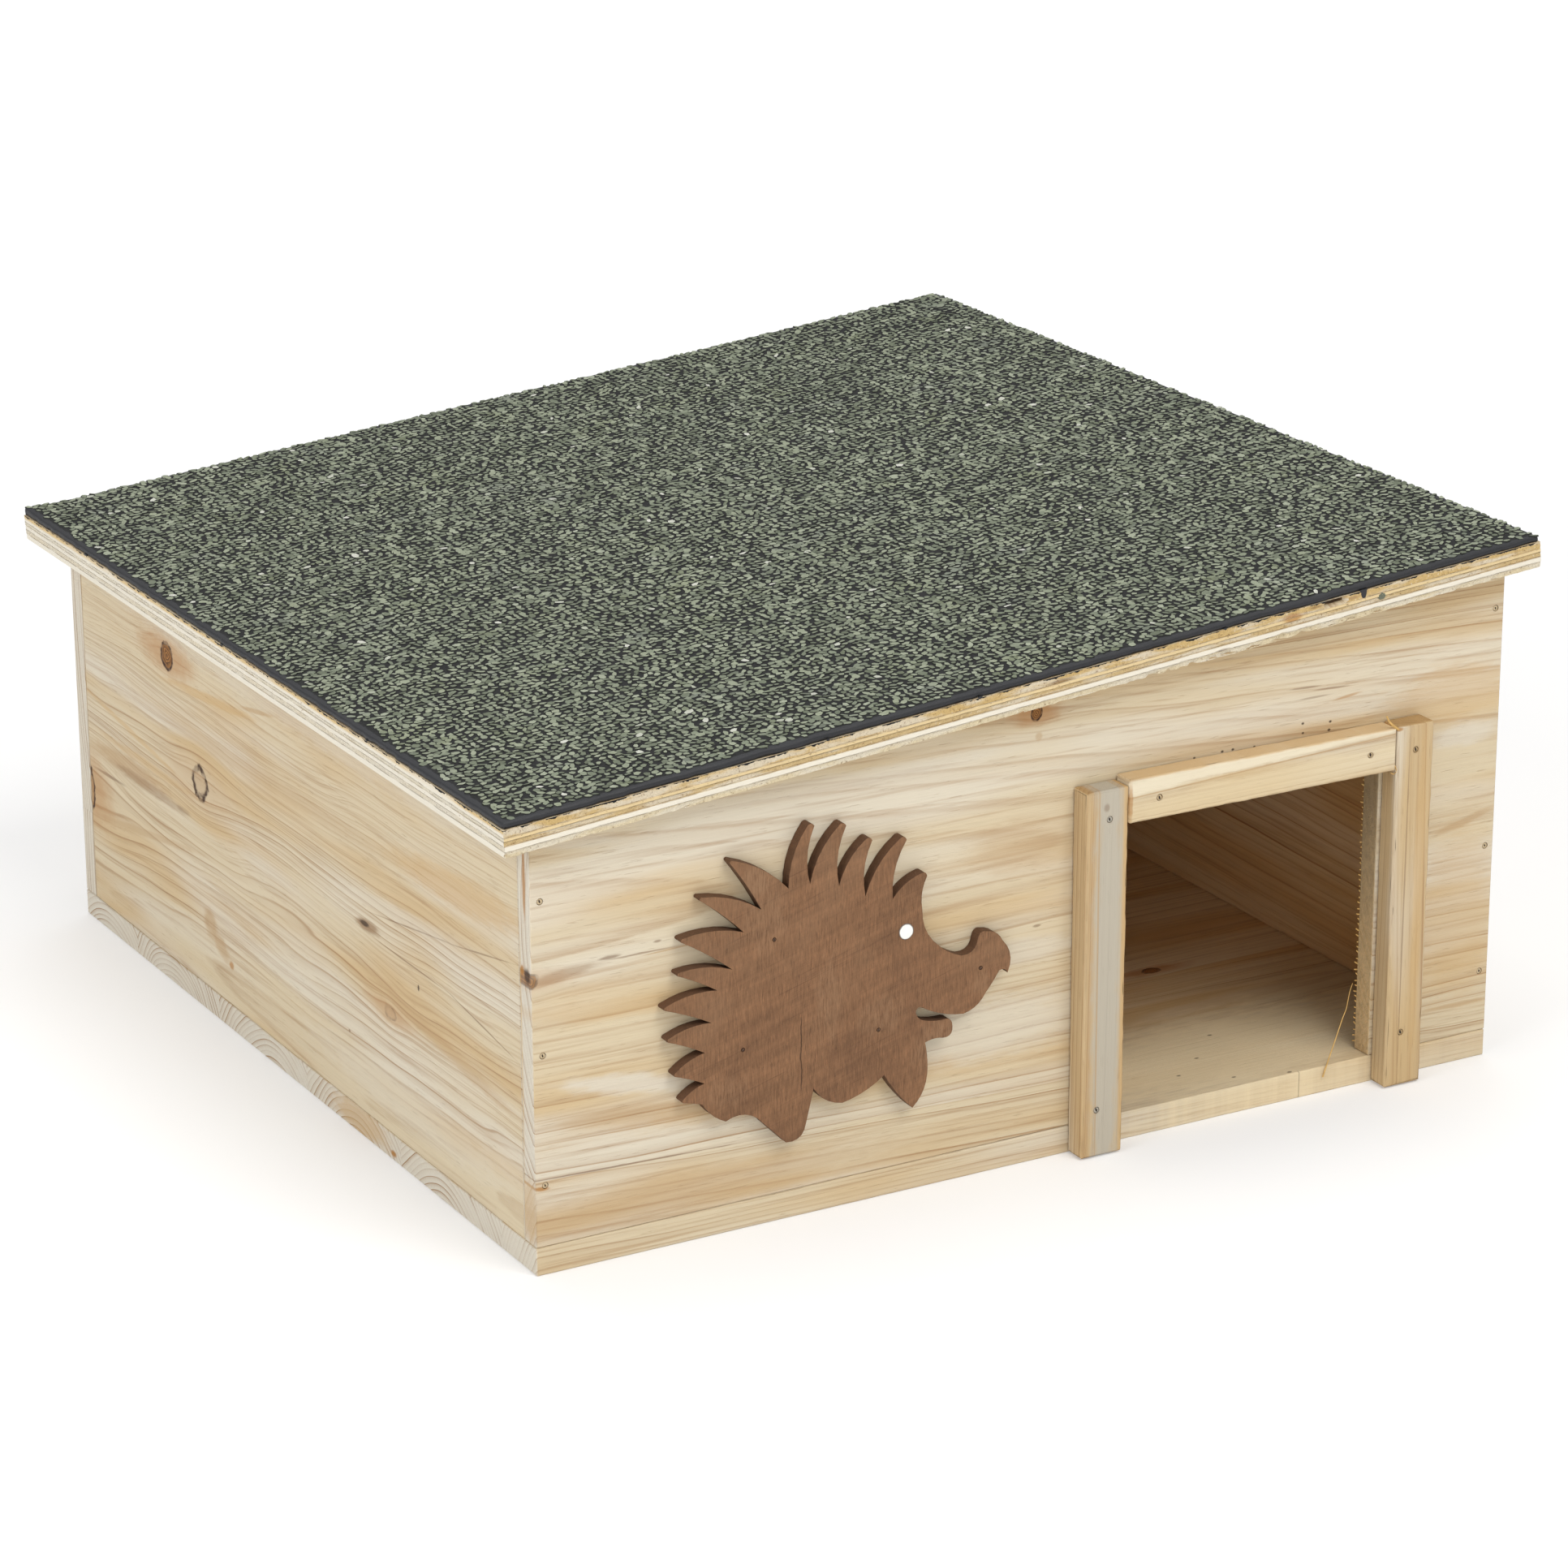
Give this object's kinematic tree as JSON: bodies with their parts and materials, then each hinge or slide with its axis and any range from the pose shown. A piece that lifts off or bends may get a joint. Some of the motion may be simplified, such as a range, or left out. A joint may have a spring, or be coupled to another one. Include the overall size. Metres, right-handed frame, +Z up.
{
  "type": "hedgehog house",
  "caption": "Nailed wooden shelter with a low entrance, a partition, a flat hedgehog figure on the front and a hinged lean-to roof covered with mineral felt.",
  "frame": {"origin": "middle of the whole house in plan, at the level of the ground", "axes": "+Z up, -Y out of the entrance, +X towards the high end of the roof"},
  "size_m": [0.4756, 0.4772, 0.2319],
  "materials": {
    "board": "planed softwood, untreated",
    "batten": "planed softwood batten, untreated",
    "plywood": "sawn plywood",
    "stained": "brown stain on fine-grained wood",
    "felt": "bitumen felt with green-grey mineral granules",
    "hinge_steel": "zinc plated",
    "nail_steel": "dull wire"
  },
  "bodies": {
    "house": {"back_panel": "board", "back_panel_nail_1": "nail_steel", "back_panel_nail_2": "nail_steel", "back_panel_nail_3": "nail_steel", "back_panel_nail_4": "nail_steel", "back_panel_nail_5": "nail_steel", "back_panel_nail_6": "nail_steel", "door_lintel": "batten", "door_lintel_nail_1": "nail_steel", "door_lintel_nail_2": "nail_steel", "figure_pin_1": "nail_steel", "figure_pin_2": "nail_steel", "figure_pin_3": "nail_steel", "figure_pin_4": "nail_steel", "floor_board": "board", "floor_nail_1": "nail_steel", "floor_nail_2": "nail_steel", "floor_nail_3": "nail_steel", "floor_nail_4": "nail_steel", "floor_nail_5": "nail_steel", "floor_nail_6": "nail_steel", "front_hinge_pin": "hinge_steel", "front_hinge_wall_leaf": "hinge_steel", "front_hinge_wall_screw_1": "hinge_steel", "front_hinge_wall_screw_2": "hinge_steel", "front_panel": "board", "front_panel_nail_1": "nail_steel", "front_panel_nail_2": "nail_steel", "front_panel_nail_3": "nail_steel", "front_panel_nail_4": "nail_steel", "front_panel_nail_5": "nail_steel", "front_panel_nail_6": "nail_steel", "hedgehog_figure": "stained", "left_door_rail": "batten", "left_door_rail_nail_1": "nail_steel", "left_door_rail_nail_2": "nail_steel", "left_side_wall": "board", "partition": "board", "partition_nail_1": "nail_steel", "partition_nail_2": "nail_steel", "rear_hinge_pin": "hinge_steel", "rear_hinge_wall_leaf": "hinge_steel", "rear_hinge_wall_screw_1": "hinge_steel", "rear_hinge_wall_screw_2": "hinge_steel", "right_door_rail": "batten", "right_door_rail_nail_1": "nail_steel", "right_door_rail_nail_2": "nail_steel", "right_side_wall": "board"},
    "roof": {"front_hinge_roof_leaf": "hinge_steel", "front_hinge_roof_screw_1": "hinge_steel", "front_hinge_roof_screw_2": "hinge_steel", "rear_hinge_roof_leaf": "hinge_steel", "rear_hinge_roof_screw_1": "hinge_steel", "rear_hinge_roof_screw_2": "hinge_steel", "roof_board": "plywood", "roof_felt": "felt"}
  },
  "joints": [
    {"name": "roof_hinge", "type": "hinge", "parent": "house", "child": "roof", "pos_m": [0.23082, 0, 0.21404], "axis": [0, 1, 0], "range_deg": [0, 124]}
  ]
}
